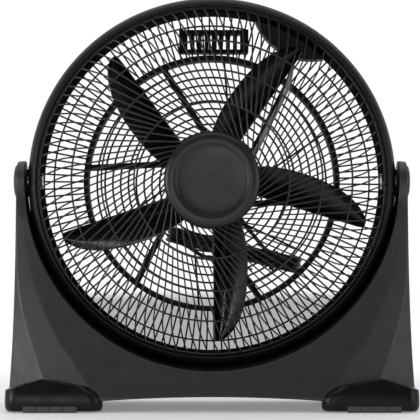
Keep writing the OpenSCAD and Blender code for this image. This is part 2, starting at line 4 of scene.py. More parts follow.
import bmesh
import bpy
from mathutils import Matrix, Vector


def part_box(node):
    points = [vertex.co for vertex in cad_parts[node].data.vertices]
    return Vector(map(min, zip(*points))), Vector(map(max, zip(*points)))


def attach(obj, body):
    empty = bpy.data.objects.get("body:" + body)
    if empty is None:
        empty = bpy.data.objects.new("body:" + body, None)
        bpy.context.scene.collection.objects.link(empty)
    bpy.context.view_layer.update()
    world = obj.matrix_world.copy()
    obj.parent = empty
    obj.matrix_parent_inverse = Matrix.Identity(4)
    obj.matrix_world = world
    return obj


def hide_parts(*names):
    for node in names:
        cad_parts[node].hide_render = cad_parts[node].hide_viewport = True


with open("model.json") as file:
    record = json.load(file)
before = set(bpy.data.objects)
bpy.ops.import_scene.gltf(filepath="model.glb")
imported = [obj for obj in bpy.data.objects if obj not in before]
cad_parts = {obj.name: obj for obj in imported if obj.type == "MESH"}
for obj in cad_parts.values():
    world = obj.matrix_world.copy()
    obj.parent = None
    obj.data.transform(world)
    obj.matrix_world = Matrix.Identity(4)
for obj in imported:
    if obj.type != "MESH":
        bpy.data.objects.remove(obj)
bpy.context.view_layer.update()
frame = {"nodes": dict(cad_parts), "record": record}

# Looks of the tilting drum fan. Shapes are given in millimetres: pieces of the base in the row
# frame, pieces of the head in the fan's own frame (x right, y up, z the way the air leaves).

scene = bpy.context.scene
MM = 0.001
shaft_lo, shaft_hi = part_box("motor_shaft")
AXIS_Z = (shaft_lo.z + shaft_hi.z) / 2 / MM
# Radius of the hollow in the base that the drum turns in
CRADLE_R = 268
PI = math.pi
TAU = 2 * PI


def rad(degrees):
    return math.radians(degrees)


def row_place(p):
    return Vector(p) * MM


def head_place(p):
    return Vector((p[0], -p[2], AXIS_Z + p[1])) * MM


def lerp(a, b, t):
    return a + (b - a) * t


def smooth(t):
    t = min(1.0, max(0.0, t))
    return t * t * (3 - 2 * t)


def table(pairs, x):
    """Smooth curve through (x, y) pairs, held level past the ends."""
    if x <= pairs[0][0]:
        return pairs[0][1]
    for k in range(len(pairs) - 1):
        x0, y0 = pairs[k]
        x1, y1 = pairs[k + 1]
        if x <= x1:
            before = pairs[max(k - 1, 0)]
            after = pairs[min(k + 2, len(pairs) - 1)]
            m0 = (y1 - before[1]) / (x1 - before[0])
            m1 = (after[1] - y0) / (after[0] - x0)
            h, t = x1 - x0, (x - x0) / (x1 - x0)
            return (y0 * (1 + 2 * t) * (1 - t) ** 2 + y1 * t * t * (3 - 2 * t)
                    + h * m0 * t * (1 - t) ** 2 + h * m1 * t * t * (t - 1))
    return pairs[-1][1]


def soft_min(a, b, width):
    """The smaller of two values, rounded over where they cross."""
    h = max(width - abs(a - b), 0) / width
    return min(a, b) - h * h * width / 4


# ---- Camera ------------------------------------------------------------------------------

camera_data = bpy.data.cameras.new("camera")
camera_data.lens = 148.4
camera_data.sensor_width = 36
camera = bpy.data.objects.new("camera", camera_data)
scene.collection.objects.link(camera)
camera.location = (-0.010, -2.5, AXIS_Z * MM - 0.0957)
yaw, pitch = rad(0.166), rad(1.25)
aim = Vector((math.sin(yaw), math.cos(yaw), math.tan(pitch)))
camera.rotation_euler = aim.to_track_quat("-Z", "Y").to_euler()
scene.camera = camera

# ---- Materials ---------------------------------------------------------------------------


class Nodes:
    """Shorthand for building a node tree."""

    def __init__(self, tree):
        self.tree = tree

    def add(self, kind, **values):
        node = self.tree.nodes.new(kind)
        for key, value in values.items():
            if key.startswith("in_"):
                node.inputs[key[3:].replace("_", " ")].default_value = value
            else:
                setattr(node, key, value)
        return node

    def join(self, a, out, b, into):
        self.tree.links.new(a.outputs[out], b.inputs[into])


def to_linear(value):
    """A colour given as 0..255 sRGB numbers, as linear RGBA."""
    parts = [v / 255 for v in value]
    return tuple(v / 12.92 if v <= 0.04045 else ((v + 0.055) / 1.055) ** 2.4 for v in parts) + (1,)


def surface(name, colour, rough, specular=0.5, metal=0.0, grain=1100, relief=0.12, mottle=0.12,
            rough_spread=0.07, wear=0.5, coat=0.0, sheen=0.0, stretch=None):
    """Moulded or metal surface: colour that varies a little, grain in the relief, uneven gloss,
    and edges rubbed lighter. `grain` is how many grains fit in a metre."""
    material = bpy.data.materials.new(name)
    material.use_nodes = True
    tree = material.node_tree
    tree.nodes.clear()
    n = Nodes(tree)
    out = n.add("ShaderNodeOutputMaterial")
    shader = n.add("ShaderNodeBsdfPrincipled")
    shader.inputs["Metallic"].default_value = metal
    shader.inputs["Specular IOR Level"].default_value = specular
    shader.inputs["Coat Weight"].default_value = coat
    shader.inputs["Coat Roughness"].default_value = 0.12
    shader.inputs["Sheen Weight"].default_value = sheen
    n.join(shader, "BSDF", out, "Surface")
    where = n.add("ShaderNodeTexCoord")
    source, socket = where, "Object"
    if stretch:
        mapping = n.add("ShaderNodeMapping")
        mapping.inputs["Scale"].default_value = stretch
        n.join(where, "Object", mapping, "Vector")
        source, socket = mapping, "Vector"
    # Colour: slow clouds, then lighter rubbed edges
    clouds = n.add("ShaderNodeTexNoise", in_Scale=14.0, in_Detail=5.0, in_Roughness=0.6)
    n.join(source, socket, clouds, "Vector")
    ramp = n.add("ShaderNodeValToRGB")
    ramp.color_ramp.elements[0].position = 0.3
    ramp.color_ramp.elements[1].position = 0.72
    base = to_linear(colour)
    ramp.color_ramp.elements[0].color = tuple(c * (1 - mottle) for c in base[:3]) + (1,)
    ramp.color_ramp.elements[1].color = tuple(min(1, c * (1 + mottle)) for c in base[:3]) + (1,)
    n.join(clouds, "Fac", ramp, "Fac")
    geometry = n.add("ShaderNodeNewGeometry")
    edge = n.add("ShaderNodeMapRange", in_From_Min=0.53, in_From_Max=0.66, in_To_Min=0.0, in_To_Max=wear)
    n.join(geometry, "Pointiness", edge, "Value")
    rub = n.add("ShaderNodeMix", data_type="RGBA")
    rub.inputs[7].default_value = tuple(min(1, c * 1.7 + 0.004) for c in base[:3]) + (1,)
    n.join(edge, "Result", rub, 0)
    n.tree.links.new(ramp.outputs["Color"], rub.inputs[6])
    n.tree.links.new(rub.outputs[2], shader.inputs["Base Color"])
    # Gloss: uneven at the scale of handling marks
    marks = n.add("ShaderNodeTexNoise", in_Scale=55.0, in_Detail=6.0, in_Roughness=0.65)
    n.join(source, socket, marks, "Vector")
    gloss = n.add("ShaderNodeMapRange", in_From_Min=0.3, in_From_Max=0.7,
                  in_To_Min=max(0.04, rough - rough_spread), in_To_Max=min(1, rough + rough_spread))
    n.join(marks, "Fac", gloss, "Value")
    n.join(gloss, "Result", shader, "Roughness")
    # Relief: spark-eroded grain with a slower ripple under it
    fine = n.add("ShaderNodeTexNoise", in_Scale=float(grain), in_Detail=3.0, in_Roughness=0.7)
    n.join(source, socket, fine, "Vector")
    bump = n.add("ShaderNodeBump", in_Strength=relief, in_Distance=0.0004)
    n.join(fine, "Fac", bump, "Height")
    ripple = n.add("ShaderNodeTexNoise", in_Scale=22.0, in_Detail=2.0, in_Roughness=0.5)
    n.join(source, socket, ripple, "Vector")
    swell = n.add("ShaderNodeBump", in_Strength=relief * 0.5, in_Distance=0.0006)
    n.join(ripple, "Fac", swell, "Height")
    n.join(swell, "Normal", bump, "Normal")
    n.join(bump, "Normal", shader, "Normal")
    return material


LOOKS = {
    "base_plastic": surface("base_plastic", (37, 39, 41), 0.42, 0.34, grain=1300, relief=0.35, mottle=0.06,
                            wear=0.1),
    "foot_plastic": surface("foot_plastic", (9, 9, 11), 0.34, 0.2, grain=1300, relief=0.3, mottle=0.1),
    "pad_rubber": surface("pad_rubber", (52, 54, 58), 0.6, 0.3, grain=700, relief=0.5, mottle=0.15,
                          sheen=0.1),
    "screw_steel": surface("screw_steel", (168, 168, 172), 0.32, 0.5, metal=1.0, grain=900, relief=0.1,
                           stretch=(1, 8, 1)),
    "nylon": surface("nylon", (214, 210, 200), 0.5, 0.4, grain=800, relief=0.2, mottle=0.05),
    "washer_rubber": surface("washer_rubber", (26, 26, 27), 0.8, 0.2, grain=900, relief=0.4),
    "drum_plastic": surface("drum_plastic", (17, 17, 19), 0.5, 0.16, grain=1500, relief=0.16, mottle=0.1),
    "front_grille_plastic": surface("front_grille_plastic", (26, 26, 29), 0.34, 0.38, grain=1500,
                                    relief=0.15, mottle=0.1),
    "bezel": surface("bezel", (21, 21, 24), 0.44, 0.14, grain=1500, relief=0.15, mottle=0.1, wear=0.25),
    "cap_plastic": surface("cap_plastic", (25, 25, 27), 0.36, 0.30, grain=1400, relief=0.25, mottle=0.06),
    "rear_grille_plastic": surface("rear_grille_plastic", (11, 11, 12), 0.5, 0.12, grain=1400,
                                   relief=0.2, mottle=0.12),
    "motor_steel": surface("motor_steel", (96, 98, 102), 0.42, 0.5, metal=0.6, grain=1200, relief=0.25),
    "copper": surface("copper", (150, 84, 46), 0.3, 0.5, metal=1.0, grain=500, relief=0.5, stretch=(1, 1, 6)),
    "bearing_steel": surface("bearing_steel", (176, 177, 182), 0.2, 0.5, metal=1.0, grain=1500, relief=0.08,
                             stretch=(1, 10, 1)),
    "conduit_plastic": surface("conduit_plastic", (150, 152, 156), 0.2, 0.7, grain=500, relief=0.12,
                               mottle=0.16, coat=0.5),
    "cord_rubber": surface("cord_rubber", (20, 20, 22), 0.46, 0.35, grain=1600, relief=0.3, mottle=0.15),
    "tie_plastic": surface("tie_plastic", (30, 30, 31), 0.5, 0.35, grain=1200, relief=0.3),
    "plug_plastic": surface("plug_plastic", (24, 24, 26), 0.45, 0.35, grain=1300, relief=0.35),
    "blade_plastic": surface("blade_plastic", (9, 9, 11), 0.22, 0.3, grain=900, relief=0.05, mottle=0.15,
                             rough_spread=0.06, coat=0.12),
    "knob_plastic": surface("knob_plastic", (30, 30, 32), 0.4, 0.35, grain=1300, relief=0.3),
    "marking": surface("marking", (196, 197, 198), 0.5, 0.4, grain=1300, relief=0.2, mottle=0.04, wear=0.0),
}

# Painted shade: the wall of the base round the drum lies in the drum's shadow, so its colour is painted
# darker and its gloss taken away
plastic = Nodes(LOOKS["base_plastic"].node_tree)
shader = next(n for n in plastic.tree.nodes if n.bl_idname == "ShaderNodeBsdfPrincipled")
place = plastic.add("ShaderNodeTexCoord")
centre_at = plastic.add("ShaderNodeVectorMath", operation="MULTIPLY_ADD")
centre_at.inputs[1].default_value = (1, 0, 1)
centre_at.inputs[2].default_value = (0, 0, -AXIS_Z * MM)
plastic.join(place, "Object", centre_at, 0)
radius = plastic.add("ShaderNodeVectorMath", operation="LENGTH")
plastic.join(centre_at, "Vector", radius, "Vector")
# Painted shade mask: 0 on the wall round the drum, 1 on the rest of the base
painted_shade_mask = plastic.add("ShaderNodeMapRange", in_From_Min=(CRADLE_R + 0.04) * MM,
                        in_From_Max=(CRADLE_R + 0.3) * MM, in_To_Min=0.0, in_To_Max=1.0)
plastic.join(radius, "Value", painted_shade_mask, "Value")
# Painted shade: the base colour darkened on the wall round the drum
painted_shade_colour = plastic.add("ShaderNodeMix", data_type="RGBA")
painted_shade_colour.inputs[6].default_value = (0.011, 0.0112, 0.012, 1)
plastic.join(painted_shade_mask, "Result", painted_shade_colour, 0)
plastic.tree.links.new(shader.inputs["Base Color"].links[0].from_socket, painted_shade_colour.inputs[7])
plastic.tree.links.new(painted_shade_colour.outputs[2], shader.inputs["Base Color"])
# Painted shade: the gloss taken off the wall round the drum
painted_shade_gloss = plastic.add("ShaderNodeMath", operation="MULTIPLY")
painted_shade_gloss.inputs[1].default_value = shader.inputs["Specular IOR Level"].default_value
plastic.join(painted_shade_mask, "Result", painted_shade_gloss, 0)
plastic.join(painted_shade_gloss, "Value", shader, "Specular IOR Level")

# ---- Building pieces -----------------------------------------------------------------------


class Shape:
    """Gathers the faces of one piece, in millimetres."""

    def __init__(self, place=head_place):
        self.place = place
        self.points = []
        self.faces = []

    def add(self, points, faces):
        first = len(self.points)
        self.points += [self.place(p) for p in points]
        self.faces += [[first + i for i in f] for f in faces]

    def grid(self, rows, close_rows=False, close_columns=False):
        """Faces between rows of points; close_ joins the last row or column to the first."""
        n, m = len(rows), len(rows[0])
        faces = []
        for i in range(n if close_rows else n - 1):
            for j in range(m if close_columns else m - 1):
                a, b = i * m + j, i * m + (j + 1) % m
                c, d = ((i + 1) % n) * m + (j + 1) % m, ((i + 1) % n) * m + j
                faces.append((a, b, c, d))
        self.add([p for row in rows for p in row], faces)

    def revolve(self, profile, steps=128, closed=True, start=0.0, sweep=360.0):
        """Turns (radius, z) points about the z axis."""
        full = abs(sweep - 360) < 1e-6
        rows = []
        for k in range(steps if full else steps + 1):
            a = rad(start + sweep * k / steps)
            rows.append([(r * math.cos(a), r * math.sin(a), z) for r, z in profile])
        self.grid(rows, close_rows=full, close_columns=closed)

    def sweep(self, path, section, up, caps=True):
        """Runs a closed section of (across, up) points along a path. `up` is a direction, or a
        list with one direction for each point of the path. `section` may be a list of sections."""
        rows = []
        last = len(path) - 1
        for k, p in enumerate(path):
            p = Vector(p)
            along = (Vector(path[min(k + 1, last)]) - Vector(path[max(k - 1, 0)])).normalized()
            u = Vector(up[k] if isinstance(up, list) else up)
            across = along.cross(u).normalized()
            u = across.cross(along)
            shape = section[k] if isinstance(section[0][0], (list, tuple)) else section
            rows.append([p + a * across + b * u for a, b in shape])
        first = len(self.points)
        self.grid(rows, close_columns=True)
        if caps:
            m = len(rows[0])
            self.faces.append([first + j for j in range(m)][::-1])
            self.faces.append([first + last * m + j for j in range(m)])

    def tube(self, path, radius, sides=14, caps=True):
        """A round tube along a path; `radius` is a number or one number for each point."""
        rows = []
        last = len(path) - 1
        path = [Vector(p) for p in path]
        u = None
        for k, p in enumerate(path):
            along = (path[min(k + 1, last)] - path[max(k - 1, 0)]).normalized()
            if u is None:
                u = along.cross(Vector((0.13, 0.29, 1))).normalized()
            u = (u - along * u.dot(along)).normalized()
            v = along.cross(u)
            r = radius[k] if isinstance(radius, (list, tuple)) else radius
            rows.append([p + r * (math.cos(TAU * j / sides) * u + math.sin(TAU * j / sides) * v)
                         for j in range(sides)])
        first = len(self.points)
        self.grid(rows, close_columns=True)
        if caps:
            self.faces.append([first + j for j in range(sides)][::-1])
            self.faces.append([first + last * sides + j for j in range(sides)])

    def block(self, low, high, radius, turn=None, steps=2):
        """A box with its edges rounded. `turn` maps each finished point."""
        bm = bmesh.new()
        bmesh.ops.create_cube(bm, size=1)
        for v in bm.verts:
            v.co = [lerp(low[i], high[i], v.co[i] + 0.5) for i in range(3)]
        bmesh.ops.bevel(bm, geom=bm.edges[:], offset=radius, segments=steps, affect="EDGES", profile=0.5)
        bm.verts.ensure_lookup_table()
        points = [turn(v.co) if turn else tuple(v.co) for v in bm.verts]
        faces = [[v.index for v in f.verts] for f in bm.faces]
        bm.free()
        self.add(points, faces)

    def finish(self, name, body, slot, stands_for=(), sharp=38, look=None):
        mesh = bpy.data.meshes.new(name)
        mesh.from_pydata(self.points, [], self.faces)
        bm = bmesh.new()
        bm.from_mesh(mesh)
        bmesh.ops.remove_doubles(bm, verts=bm.verts, dist=2e-6)
        bmesh.ops.dissolve_degenerate(bm, edges=bm.edges, dist=1e-6)
        bmesh.ops.recalc_face_normals(bm, faces=bm.faces)
        bm.to_mesh(mesh)
        bm.free()
        mesh.polygons.foreach_set("use_smooth", [True] * len(mesh.polygons))
        mesh.set_sharp_from_angle(angle=rad(sharp))
        mesh.materials.append(LOOKS[look or slot])
        piece = bpy.data.objects.new(name, mesh)
        scene.collection.objects.link(piece)
        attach(piece, body)
        if stands_for:
            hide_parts(*stands_for)
        return piece


def polar(r, degrees, z):
    return (r * math.cos(rad(degrees)), r * math.sin(rad(degrees)), z)


def rounded(points, radius, steps=4, closed=True):
    """A polyline with its corners rounded off."""
    out = []
    n = len(points)
    for k, p in enumerate(points):
        if not closed and k in (0, n - 1):
            out.append(p)
            continue
        a, b = Vector(points[k - 1]), Vector(points[(k + 1) % n])
        p = Vector(p)
        cut_a = min(radius, (a - p).length * 0.45)
        cut_b = min(radius, (b - p).length * 0.45)
        start, end = p + (a - p).normalized() * cut_a, p + (b - p).normalized() * cut_b
        for i in range(steps + 1):
            t = i / steps
            out.append(tuple(start * (1 - t) ** 2 + p * 2 * t * (1 - t) + end * t * t))
    return out


def spline(points, step):
    """A smooth line through the points, cut into pieces about `step` long."""
    pts = [Vector(p) for p in points]
    ends = [2 * pts[0] - pts[1]] + pts + [2 * pts[-1] - pts[-2]]
    line = []
    for k in range(1, len(ends) - 2):
        p0, p1, p2, p3 = ends[k - 1:k + 3]
        t1 = math.sqrt((p1 - p0).length)
        t2 = t1 + math.sqrt((p2 - p1).length)
        t3 = t2 + math.sqrt((p3 - p2).length)
        count = max(2, round((p2 - p1).length / step))
        for i in range(count):
            t = lerp(t1, t2, i / count)
            a1 = p0 * ((t1 - t) / t1) + p1 * (t / t1)
            a2 = p1 * ((t2 - t) / (t2 - t1)) + p2 * ((t - t1) / (t2 - t1))
            a3 = p2 * ((t3 - t) / (t3 - t2)) + p3 * ((t - t2) / (t3 - t2))
            b1 = a1 * ((t2 - t) / t2) + a2 * (t / t2)
            b2 = a2 * ((t3 - t) / (t3 - t1)) + a3 * ((t - t1) / (t3 - t1))
            line.append(b1 * ((t2 - t) / (t2 - t1)) + b2 * ((t - t1) / (t2 - t1)))
    line.append(pts[-1])
    return line


def boss_section(width, depth, soft):
    """Closed section of a bar: `width` across, from -depth up to 0, its upper corners rounded."""
    w = width / 2
    return [(-w, -depth), (-w, -soft), (-w * 0.72, -soft * 0.3), (-w * 0.28, -soft * 0.02),
            (w * 0.28, -soft * 0.02), (w * 0.72, -soft * 0.3), (w, -soft), (w, -depth)]


# ---- Mains lead ----------------------------------------------------------------------------

CORD_D = 6.0
LEAD_ROUTE = [
    (61, 101, 249), (68.4, 101.1, 240), (75.7, 101.3, 231.1), (79, 101.5, 227.6), (83, 101.7, 224.5),
    (87.5, 102, 222.2), (92.2, 102.2, 220.5),
]
HANK_AT = Vector((33.5, 120.5, 224.7))
HANK_SLOPE = 15
HANK_END = 83
HANK_FOLD = 18
HANK_TURNS = 3
HANK_PITCH = 6.05
HANK_TOP = 11.1
TAIL_ROUTE = [
    (-73, -16.4, -11.8), (-67, -13.8, -13.2), (-59.5, -9, -15.9), (-52, -4.2, -18.6), (-46, -1.6, -20.1),
    (-41, -0.4, -20.8), (-36, 0, -21),
]
hank_along = Vector((math.cos(rad(HANK_SLOPE)), 0, -math.sin(rad(HANK_SLOPE))))
hank_up = Vector((math.sin(rad(HANK_SLOPE)), 0, math.cos(rad(HANK_SLOPE))))


def hank_place(p):
    """From the hank's own frame (along, back, up) to the row frame."""
    return (HANK_AT + hank_along * p[0] + Vector((0, 1, 0)) * p[1] + hank_up * p[2]) * MM


def hank_point(s):
    """Centreline of the winding after s turns, starting with the fold at the right end."""
    fold = PI * HANK_FOLD
    run = 2 * HANK_END
    d = (s % 1) * 2 * (fold + run)
    w = HANK_TOP - HANK_PITCH * s
    if d < fold:
        a = d / HANK_FOLD
        return (HANK_END + HANK_FOLD * math.sin(a), -HANK_FOLD * math.cos(a), w)
    if d < fold + run:
        return (HANK_END - (d - fold), HANK_FOLD, w)
    if d < 2 * fold + run:
        a = (d - fold - run) / HANK_FOLD
        return (-HANK_END - HANK_FOLD * math.sin(a), HANK_FOLD * math.cos(a), w)
    return (-HANK_END + (d - 2 * fold - run), -HANK_FOLD, w)


fold_share = PI * HANK_FOLD / (2 * (PI * HANK_FOLD + 2 * HANK_END))
turns = HANK_TURNS + 0.5 + fold_share
winding = [hank_place(hank_point(turns * k / 520)) for k in range(521)]
# Each end of the winding takes a point of the winding along, so that the line runs on smoothly
CORD_STEP = 0.003
lead = spline([Vector(p) * MM for p in LEAD_ROUTE]
              + [hank_place((70, -18.1, 11.1)), winding[0], winding[3]], CORD_STEP)
tail = spline([winding[-4], winding[-1], hank_place((-78, -17.6, -11.1))]
              + [hank_place(p) for p in TAIL_ROUTE], CORD_STEP)
lead = [p for p in lead if (p - winding[0]).dot(hank_along) < 0]
tail = [p for p in tail if (p - winding[-1]).dot(hank_along) > 0]
cord_line = lead + winding + tail
cord_shape = Shape(lambda p: p)
cord_shape.tube(cord_line, CORD_D / 2 * MM, 12)
cord = cord_shape.finish("mains_cord", "head", "cord_rubber", ("cord_lead", "cord_hank", "cord_tail"))

# Strain relief: a ribbed taper that leads the cord out of the motor cover
GLAND_ANGLE = -50.7
GLAND_Z = -101
GLAND_FROM, GLAND_STEP, GLAND_STEPS = 60.5, 0.85, 42
gland = Shape()
gland_dir = Vector(polar(1, GLAND_ANGLE, 0))
gland_path, gland_r = [], []
for k in range(GLAND_STEPS + 1):
    s = GLAND_FROM + k * GLAND_STEP
    gland_path.append(gland_dir * s + Vector((0, 0, GLAND_Z)))
    taper = lerp(4.25, 3.45, k / GLAND_STEPS)
    gland_r.append(taper - (0.35 if 8 <= k <= 38 and k % 4 in (2, 3) else 0))
gland.tube(gland_path, gland_r, 20)
relief = gland.finish("cord_relief", "head", "cord_rubber", ("cord_gland",))

# Flat two-pin plug that lies under the hank
PLUG_W = -21
plug = Shape(hank_place)
plug_rows = []
for u, half_v, half_w, corner in [
        (-36, 3.7, 3.7, 3.7), (-30, 4.3, 4.3, 4.3), (-24, 5.1, 5.0, 5.0), (-20.5, 6.2, 5.8, 5.6),
        (-18, 8.6, 6.4, 5.9), (-14, 12.2, 6.8, 5.6), (-8, 15.6, 6.95, 5.2), (-2, 17.1, 7, 5),
        (4, 17.4, 7, 4.8), (10, 17.2, 7, 4.8), (14, 16.6, 6.9, 4.8), (15.6, 15.7, 6.3, 4.6),
        (16, 14.6, 5.4, 4.4)]:
    section = rounded([(-half_v, -half_w), (half_v, -half_w), (half_v, half_w), (-half_v, half_w)],
                      min(corner * 1.6, half_w * 1.8), 5)
    plug_rows.append([(u, v, PLUG_W + w) for v, w in section])
plug.grid(plug_rows, close_columns=True)
ring = len(plug_rows[0])
plug.faces += [list(range(ring)), [len(plug.points) - ring + j for j in range(ring)]]
for k in range(4):
    u = -33.5 + k * 3.4
    r = 4.5 + k * 0.45
    plug.tube([(u, 0, PLUG_W), (u + 0.5, 0, PLUG_W), (u + 1.3, 0, PLUG_W), (u + 1.8, 0, PLUG_W)],
              [r - 0.8, r, r, r - 0.8], 20)
plug_piece = plug.finish("mains_plug_body", "head", "plug_plastic", ("mains_plug",))
pins = Shape(hank_place)
for v in (-9.5, 9.5):
    pins.tube([(15.5, v, PLUG_W), (25, v, PLUG_W)], 1.75, 16)
    pins.tube([(24.6, v, PLUG_W), (33, v, PLUG_W), (34.4, v, PLUG_W), (35, v, PLUG_W)], [2, 2, 1.6, 0.7], 16)
pin_piece = pins.finish("mains_plug_pins", "head", "screw_steel")

# Straps that hold the hank, one of them round the plug as well
ties = Shape(hank_place)
for u, low in ((0, -28.6), (62, -14.6)):
    loop = rounded([(-21.9, low), (21.9, low), (21.9, 14.6), (-21.9, 14.6)], 5, 6)
    band = [Vector((u, v, w)) for v, w in loop]
    centre = Vector((u, 0, (low + 14.6) / 2))
    rows = []
    for p in band:
        out = p - centre
        out.x = 0
        out.normalize()
        rows.append([p + Vector((du, 0, 0)) + out * dn for du, dn in
                     ((-3, -0.55), (-3, 0.3), (-2.6, 0.62), (2.6, 0.62), (3, 0.3), (3, -0.55))])
    ties.grid(rows, close_rows=True, close_columns=True)
    ties.block((u - 4.2, -23.4, -3.5), (u + 4.2, -20.6, 5), 0.7)
    ties.sweep([(u, -22.6, 4), (u, -23.2, 9), (u + 0.6, -22.9, 14), (u + 1.2, -22.6, 17)],
               rounded([(-2.6, -0.5), (2.6, -0.5), (2.6, 0.5), (-2.6, 0.5)], 0.4, 2), (1, 0, 0))
tie_piece = ties.finish("cord_straps", "head", "tie_plastic", ("cord_ties",))

# ---- Base ------------------------------------------------------------------------------------

ARM_OUT = 280
ARM_HALF = 30
FOOT_Z = 20
APRON_HALF = 150
APRON_END = 15.6
# Where the facet, the flank and the rounded side of a leg meet: (height, distance from the middle)
RIDGE = [(15, 227), (46, 238), (93, 254.5), (121, 263.5), (140, 269), (186, 276.4), (235, 278.7),
         (300, 279.6)]
CREASE = [(15, 157), (40, 173.5), (78, 200), (93, 212), (121, 227), (153, 242), (181, 252.5), (219, 261.5),
          (262, 267), (310, 269)]
# How far forward the outer side reaches at a height
SIDE_EDGE = [(20, 45), (46, 45), (93, 43), (140, 40.5), (186, 37.5), (230, 34), (290, 30), (324, 28.5)]


def half_depth(z):
    t = min(1, max(0, (AXIS_Z - z) / (AXIS_Z - FOOT_Z)))
    return ARM_HALF + 67 * t ** 1.75


def side_x(z):
    return ARM_OUT + 9.4 * (max(0, AXIS_Z - z) / AXIS_Z) ** 3.2


def front_depth(x, z):
    """How far the front of the base stands forward of its middle."""
    face = half_depth(z)
    crease, ridge, edge = table(CREASE, z), table(RIDGE, z), side_x(z)
    slope = table([(30, 0.24), (120, 0.24), (200, 0.2), (320, 0.12)], z)
    flank = face - slope * (x - crease)
    at_ridge = face - slope * (ridge - crease)
    facet = at_ridge - (at_ridge - table(SIDE_EDGE, z)) * (x - ridge) / max(edge - ridge, 0.5)
    return soft_min(soft_min(face, flank, 0.7), facet, 1.0)


def round_off(distance, radius):
    """How much a surface falls back this near a rounded edge."""
    if distance >= radius:
        return 0
    return radius - math.sqrt(max(0, radius ** 2 - (radius - distance) ** 2))


EDGE_R = 1.3
EDGE_STEPS = [0, 0.06, 0.2, 0.45, 0.8, 1.3]
SEAM = 0.25


def apron_z(x):
    return 20.9 - 5.3 * (min(x, APRON_HALF) / APRON_HALF) ** 2


def along_ray(a, passed):
    """Distance from the fan axis, straight down at a = 0, at which passed(x, z) turns true."""
    low, high = CRADLE_R, 430.0
    for _ in range(40):
        mid = (low + high) / 2
        if passed(mid * math.sin(a), AXIS_Z - mid * math.cos(a)):
            high = mid
        else:
            low = mid
    return low


def spread(start, end, count):
    return [lerp(start, end, k / count) for k in range(1, count)]


def drawn_in(p, q):
    """A point on the round end of an arm, drawn in towards the tilt axis."""
    return (p[0], max(SEAM, p[1] * q), lerp(AXIS_Z, p[2], q))


def base_half(side):
    """Front (-1) or rear (1) half of the base: rays from the fan axis, then the round arm ends."""
    shape = Shape(row_place)
    corner = math.atan2(side_x(APRON_END), AXIS_Z - APRON_END)
    rays = [corner * k / 60 for k in range(60)] + [lerp(corner, PI / 2, k / 64) for k in range(65)]
    top_rows = 16
    half = []
    for a in rays:
        at_side = a >= corner - 1e-9
        outer = along_ray(a, lambda x, z: x > side_x(z) if at_side else z < apron_z(x))
        lean = math.sin(a) if at_side else math.cos(a)
        crease = min(outer, along_ray(a, lambda x, z: x > table(CREASE, z)))
        ridge = min(outer, along_ray(a, lambda x, z: x > table(RIDGE, z)))
        start, end = CRADLE_R + EDGE_STEPS[-1], outer - EDGE_STEPS[-1] / lean
        fold = [crease - 1.4, crease - 0.5, crease + 0.5, crease + 1.4]
        nose = [ridge - 2, ridge - 0.7, ridge + 0.7, ridge + 2]
        middle = (spread(start, fold[0], 34) + fold + spread(fold[-1], nose[0], 18) + nose
                  + spread(nose[-1], end, 14))
        middle = sorted(min(end - 0.05, max(start + 0.05, r)) for r in middle)
        row = []
        for r in ([CRADLE_R + s for s in EDGE_STEPS] + middle
                  + [outer - s / lean for s in reversed(EDGE_STEPS)]):
            x, z = r * math.sin(a), AXIS_Z - r * math.cos(a)
            fall = max(round_off(r - CRADLE_R, EDGE_R), round_off((outer - r) * lean, EDGE_R))
            row.append((x, front_depth(x, z) - fall, z))
        inside = [(row[0][0], lerp(SEAM, row[0][1], q), row[0][2]) for q in (0, 0.35, 0.7)]
        outside = [(row[-1][0], lerp(row[-1][1], SEAM, q), row[-1][2]) for q in (0.3, 0.65, 1)]
        half.append(inside + row + outside)
    level = [x for x, _, _ in half[-1][3:-3]]
    for i in range(1, top_rows + 1):
        beta = (PI / 2) * i / top_rows
        row = []
        for x in level:
            fall = max(round_off(x - CRADLE_R, EDGE_R), round_off(ARM_OUT - x, EDGE_R))
            r = front_depth(x, AXIS_Z) - fall
            row.append((x, max(SEAM, r * math.cos(beta)), AXIS_Z + r * math.sin(beta)))
        inside = [drawn_in(row[0], q) for q in (0, 0.35, 0.7)]
        outside = [drawn_in(row[-1], q) for q in (0.7, 0.35, 0)]
        half.append(inside + row + outside)
    for mirror in (-1, 1):
        shape.grid([[(mirror * x, side * y, z) for x, y, z in (row if mirror > 0 else row[::-1])]
                    for row in half])
    return shape


def close_seam(piece, side):
    """Fills the flat opening where the two halves meet."""
    bm = bmesh.new()
    bm.from_mesh(piece.data)
    rim = [e for e in bm.edges if e.is_boundary]
    bmesh.ops.triangle_fill(bm, edges=rim, use_beauty=True, use_dissolve=False,
                            normal=(0, -side, 0))
    bmesh.ops.recalc_face_normals(bm, faces=bm.faces)
    bm.to_mesh(piece.data)
    bm.free()
    piece.data.polygons.foreach_set("use_smooth", [True] * len(piece.data.polygons))
    piece.data.set_sharp_from_angle(angle=rad(38))


base_front = base_half(-1).finish("base_front_cover", "base", "base_plastic", ("base_front_shell",))
base_rear = base_half(1).finish("base_rear_cover", "base", "base_plastic", ("base_rear_shell",))
close_seam(base_front, -1)
close_seam(base_rear, 1)

# Feet: a low black block with a gabled top that the leg stands in
FOOT_LEVELS = [(1.5, 155, 285.5, 99, 14), (5, 152.6, 287.5, 103, 16), (12, 152, 288.4, 105, 18),
               (18, 152.4, 288.3, 105, 18), (22, 154, 288.2, 104.5, 18), (27, 158.2, 288.1, 103.5, 18),
               (31, 164.5, 288, 102, 18), (36, 173.5, 287.6, 100.5, 18), (46, 184, 287, 97, 18)]
FOOT_SLANT = 14
# Middle of a foot, the peak of its gable, and the line where it meets the leg
FOOT_MIDDLE = 228
PEAK_X, PEAK_Z = 238, 46
SEAM_LOW, SEAM_SLOPE = 15.6, 0.34


def foot_level(z):
    return [table([(level[0], level[k]) for level in FOOT_LEVELS], z) for k in (1, 2, 3, 4)]


